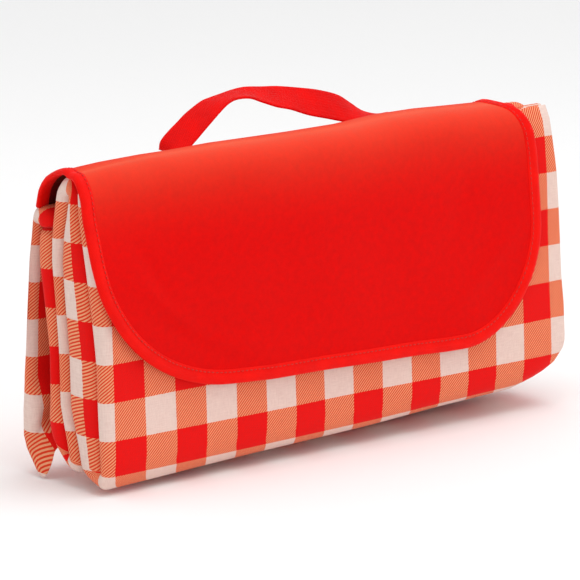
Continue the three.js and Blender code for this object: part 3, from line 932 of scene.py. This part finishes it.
# (inset from the flap's edge, distance out from its underside) round the binding.
BINDING_SECTION = [
    (9.0, 1.85), (8.6, 2.4), (7.6, 2.5), (6.9, 2.3), (5.0, 3.15), (3.0, 3.4), (1.2, 3.0),
    (0.0, 2.0), (-0.35, 0.95), (0.0, 0.05), (1.2, -0.5), (3.0, -0.65), (6.0, -0.55), (8.4, -0.4),
    (9.0, 0.0), (9.0, 0.9),
]
BINDING_LIP = 5  # the row of the section that lies on top of the flap's edge
CLOTH_INSET = 1.2
LINING_OUT, COVER_OUT = (0.0, 0.6), (0.9, 1.9)
SEAM_INSET, SEAM_OUT = 7.3, 2.5


def flap_binding():
    """Bias tape folded over the flap's edge."""
    sections = []
    for inset, out in BINDING_SECTION:
        edge = flap_outline(inset)
        sections.append(flap_point(edge[:, 0], edge[:, 1], out))
    sections = np.stack(sections, 1)
    uv = np.zeros(sections.shape[:2] + (2,))
    uv[..., 0] = run_along(placed(sections[:, BINDING_LIP]))[:, None]
    uv[..., 1] = np.array([inset for inset, out in BINDING_SECTION]) * MM
    return swept("flap_binding", placed(sections), BINDING, uv)


def flap_seam():
    """The stitches that hold the binding's inner edge down."""
    edge = flap_outline(SEAM_INSET)
    line = placed(flap_point(edge[:, 0], edge[:, 1], SEAM_OUT))
    up = placed(flap_point(edge[:, 0], edge[:, 1], SEAM_OUT + 1)) - line
    return stitches("flap_binding_stitches", line, up, pitch=3.2, share=0.72, radius=0.36)


cover = flap_sheet("flap_cover", *COVER_OUT, COVER)
lining = flap_sheet("flap_lining", *LINING_OUT, LINING)
binding = flap_binding()
seam = flap_seam()
# The flap's cloths, binding and seam are baked into the frame's metres.
for piece, slot in ((cover, "cover"), (lining, "lining"), (binding, "binding"), (seam, "binding")):
    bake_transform(piece)
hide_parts("flap_top_cover", "flap_front_cover")
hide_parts("flap_top_lining", "flap_front_lining")
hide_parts("flap_top_binding_left", "flap_top_binding_right", "flap_front_binding")


def sewn_on(patch, seam, node, body):
    """Hides the part that a patch stands in for, and hangs the patch and the seam round it on the body
    that carries them.
    """
    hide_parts(node)
    for piece in (patch, seam):
        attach(piece, body)


# ---- the hook and loop closure ----

PATCH_ROUND = 3.0
# (scale of the outline, share of the thickness out from the middle) from the back to the face.
PATCH_RINGS = [(0.02, -0.5), (1.0, -0.5), (1.0, 0.2), (0.985, 0.42), (0.95, 0.5), (0.02, 0.5)]
PATCH_SEAM = 0.88  # the scale of the outline at which the patch is sewn on
THREAD_OUT = 0.05


def closure_patch(node, name, material, facing, body):
    """A rounded patch that fills its node's box, sewn round its border. facing is along y."""
    low, high = (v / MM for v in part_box(node))
    centre = (low + high) / 2
    half_x, half_z = (high.x - low.x) / 2, (high.z - low.z) / 2
    y_mid = centre.y - OFFSET_Y - (centre.z - OFFSET_Z) * LEAN
    thick = (high.y - low.y) - (high.z - low.z) * LEAN
    outline = []
    for cx, cz, start in ((1, 1, 0), (-1, 1, 90), (-1, -1, 180), (1, -1, 270)):
        for k in range(5):
            a = math.radians(start + 22.5 * k)
            x = cx * (half_x - PATCH_ROUND) + PATCH_ROUND * math.cos(a)
            outline.append((x, cz * (half_z - PATCH_ROUND) + PATCH_ROUND * math.sin(a)))
    outline = np.array(outline)

    def on_patch(flat, out):
        x, z = flat[:, 0] + centre.x - OFFSET_X, flat[:, 1] + centre.z - OFFSET_Z
        return placed(np.stack([x, np.full(len(flat), y_mid + facing * out), z], 1))

    sections = np.stack([on_patch(outline * scale, out * thick) for scale, out in PATCH_RINGS])
    patch = swept(name, sections, material)
    line = on_patch(np.concatenate([outline, outline[:1]]) * PATCH_SEAM, 0.5 * thick + THREAD_OUT)
    up = np.tile([0.0, facing, 0.0], (len(line), 1))
    border = stitches(name + "_stitches", line, up, pitch=2.6, share=0.7, radius=0.22)
    sewn_on(patch, border, node, body)


for side in ("left", "right"):
    closure_patch(f"loop_patch_{side}", f"loop_tape_{side}", LOOP, -1, "bundle")
    closure_patch(f"hook_patch_{side}", f"hook_tape_{side}", HOOK, 1, "flap")

# ---- the handle ----

FLAP_OUT = 2.2  # the flap's outside above the slope
PIVOT_OUT, PIVOT_DOWN = 7.8, 8  # from the tabs' upper edge to the line that the handle swings about
TAB_FOOT = TOP_AXIS + SLOPE_NORMAL * (TOP_RADIUS + FLAP_OUT)
PIVOT = TAB_FOOT + SLOPE_NORMAL * PIVOT_OUT + SLOPE * PIVOT_DOWN
WEB_WIDTH = 20
WEB_HALF = 0.9  # half the webbing's thickness, and its selvedges' radius
RIB_HEIGHT = 0.07
# (x, y, z, roll) of the webbing's middle line, before the lean. Roll turns its width from level.
HANDLE_LINE = [
    (-94, 0, -3, 10), (-92, 0, 0.3, 20), (-86, 0, 4.8, 24), (-79.5, 0, 9.4, 22), (-72.5, 0, 14.5, 19),
    (-61.5, 0, 21.3, 8), (-54.5, 0, 24.2, -1), (-47.5, 0, 25.6, -3), (-37.5, 0, 26.0, 4),
    (-27.5, 0, 24.6, 18), (-14.5, 0, 21.6, 30), (-2.5, 0, 19.4, 38), (12.5, 0, 15.4, 50),
    (28, 0, 11.6, 55), (44, 1, 6.8, 52), (58, 3, 1.6, 34), (70, 4, -2.4, 14), (80, 3, -3.8, 2),
    (87, 1, -3.4, 0), (89.5, 0, -3.6, 0),
]


def catmull(values, steps):
    """A smooth line through rows of values, with some steps between each two."""
    values = np.asarray(values, float)
    ends = np.concatenate([[2 * values[0] - values[1]], values, [2 * values[-1] - values[-2]]])
    t = np.arange(steps)[:, None] / steps
    line = []
    for a, b, c, d in zip(ends, ends[1:], ends[2:], ends[3:]):
        curve = (2 * a - 5 * b + 4 * c - d) * t**2 + (3 * b - a - 3 * c + d) * t**3
        line.append((2 * b + (c - a) * t + curve) / 2)
    return np.concatenate(line + [values[-1:]])


def webbing_section():
    """The webbing's section as (across, out): flat, with rounded selvedges and fine ribs."""
    flat = WEB_WIDTH / 2 - WEB_HALF
    top = [(x, WEB_HALF + RIB_HEIGHT * math.cos(math.pi * x)) for x in np.linspace(-flat, flat, 36)]
    turn = (1.1, 0.55, 0, -0.55, -1.1)
    edge = [(flat + WEB_HALF * math.cos(a), WEB_HALF * math.sin(a)) for a in turn]
    under = [(x, -y) for x, y in reversed(top)]
    return np.array(top + edge + under + [(-x, -y) for x, y in edge])


def handle_webbing():
    """The webbing, turned about its middle line by the line's roll."""
    line = catmull(HANDLE_LINE, 7)
    middle = np.stack([line[:, 0], PIVOT[0] + line[:, 1], PIVOT[1] + line[:, 2]], 1)
    tangent = unit(np.gradient(middle, axis=0))
    roll = np.radians(line[:, 3])
    width = np.stack([np.zeros(len(roll)), np.cos(roll), np.sin(roll)], 1)
    width = unit(width - tangent * (width * tangent).sum(1)[:, None])
    out = np.cross(width, tangent)
    across, up = webbing_section().T[:, None, :, None]
    points = middle[:, None] + width[:, None] * across + out[:, None] * up
    uv = np.zeros(points.shape[:2] + (2,))
    uv[..., 0], uv[..., 1] = run_along(middle)[:, None], across[..., 0]
    return swept("handle_strap", placed(points), WEBBING, uv * MM)


strap = handle_webbing()
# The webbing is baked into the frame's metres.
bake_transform(strap)
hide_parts("handle_webbing")


TAB_LENGTH, TAB_WIDTH, TAB_THICK, TAB_ROUND = 24, 26, 1.2, 1.6
TAB_RINGS = [(0.02, -0.3), (1.0, -0.3), (1.0, TAB_THICK - 0.4), (0.97, TAB_THICK - 0.05)]
TAB_RINGS += [(0.9, TAB_THICK), (0.02, TAB_THICK)]
TAB_SEAM = 0.82  # the scale of the outline at which the tab is sewn on


def handle_anchor(side, x_middle):
    """A folded end of webbing sewn to the flap's rear slope with a boxed seam."""
    outline = np.array([(0, 0), (TAB_LENGTH, 0), (TAB_LENGTH, TAB_WIDTH), (0, TAB_WIDTH)], float)
    soft = []
    for k in range(4):
        here, before, after = outline[k], outline[k - 1], outline[(k + 1) % 4]
        for share in (0, 0.5, 1):
            cut = unit(before - here) * (1 - share) + unit(after - here) * share
            soft.append(here + TAB_ROUND * cut)
    soft = np.array(soft)
    centre = soft.mean(0)

    def on_slope(flat, out):
        y = TAB_FOOT[0] + SLOPE[0] * flat[:, 0] + SLOPE_NORMAL[0] * out
        z = TAB_FOOT[1] + SLOPE[1] * flat[:, 0] + SLOPE_NORMAL[1] * out
        return placed(np.stack([flat[:, 1] - TAB_WIDTH / 2 + x_middle, y, z], 1))

    rings = [(centre + (soft - centre) * scale, out) for scale, out in TAB_RINGS]
    sections = np.stack([on_slope(ring, out) for ring, out in rings])
    uv = np.stack([ring * MM for ring, out in rings])
    tab = swept(f"handle_anchor_{side}", sections, WEBBING, uv)
    box = centre + (outline - centre) * TAB_SEAM
    path = box[[0, 1, 2, 3, 0, 2, 3, 1]]
    fine = np.concatenate([np.linspace(a, b, 12, endpoint=False) for a, b in zip(path, path[1:])])
    line = on_slope(fine, TAB_THICK + THREAD_OUT)
    up = on_slope(fine, TAB_THICK + THREAD_OUT + 1) - line
    seam = stitches(f"handle_anchor_{side}_stitches", line, up, pitch=2.6, share=0.72, radius=0.26)
    sewn_on(tab, seam, f"handle_tab_{side}", "bundle")


for side in ("left", "right"):
    low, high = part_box(f"handle_tab_{side}")
    handle_anchor(side, (low.x + high.x) / 2 / MM - OFFSET_X)

# ---- the studio ----

VIEW = Vector((0.62238, 0.75028, -0.22300))  # the way that the camera looks


def studio_floor():
    """A pale floor that curves up into a backdrop."""
    s = Shader("floor")
    place = s.node("TexCoord").outputs["Object"]
    shade = s.noise(place, 1.5, 2.0)
    color = s.mix(shade, linear(250, 250, 250), linear(253, 253, 253))
    s.set(color=color, roughness=s.ramp(shade, 0, 1, 0.85, 0.95), specular=0.1)
    back = Vector((VIEW.x, VIEW.y, 0.0)).normalized()
    side = Vector((back.y, -back.x, 0.0))
    radius, near, far, height, wide = 1.2, -8.0, 3.5, 9.0, 9.0
    line = [(near, 0.0), (far, 0.0)]
    line += [
        (far + radius * math.sin(a), radius * (1 - math.cos(a)))
        for a in np.linspace(0.1, math.pi / 2, 12)
    ]
    line.append((far + radius, height))
    points = [back * d + side * w + Vector((0, 0, h)) for d, h in line for w in (-wide, wide)]
    faces = [[2 * i, 2 * i + 1, 2 * i + 3, 2 * i + 2] for i in range(len(line) - 1)]
    floor = add_mesh("floor", [tuple(p) for p in points], faces, [s.material])
    floor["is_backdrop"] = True


studio_floor()

world = bpy.data.worlds.new("studio")
bpy.context.scene.world = world
world.use_nodes = True
daylight = world.node_tree.nodes["Background"].inputs
daylight["Color"].default_value = (1.0, 1.0, 1.0, 1.0)
daylight["Strength"].default_value = 0.78


def soft_light(name, place, target, size, power):
    data = bpy.data.lights.new(name, "AREA")
    data.shape, data.size, data.energy = "SQUARE", size, power
    light = bpy.data.objects.new(name, data)
    bpy.context.scene.collection.objects.link(light)
    light.location = place
    light.rotation_mode = "QUATERNION"
    light.rotation_quaternion = (target - place).to_track_quat("-Z", "Y")


CENTRE = (CAD_LOW + CAD_HIGH) / 2
soft_light("overhead", CENTRE + Vector((0.1, -0.3, 1.6)), CENTRE, size=1.6, power=14)
soft_light("front", CENTRE + Vector((0.6, -1.8, 0.7)), CENTRE, size=1.2, power=3)

# The photo's own view: its rows and columns of checks give this place, direction and lens.
camera_data = bpy.data.cameras.new("camera")
camera = bpy.data.objects.new("camera", camera_data)
bpy.context.scene.collection.objects.link(camera)
bpy.context.scene.camera = camera
camera_data.sensor_width = 36
camera_data.lens = 380.9
camera_data.clip_end = 100
camera.location = (-2.3692, -2.8473, 0.9427)
camera.rotation_mode = "QUATERNION"
camera.rotation_quaternion = VIEW.to_track_quat("-Z", "Y")
bpy.context.scene.view_settings.view_transform = "Standard"

low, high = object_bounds()
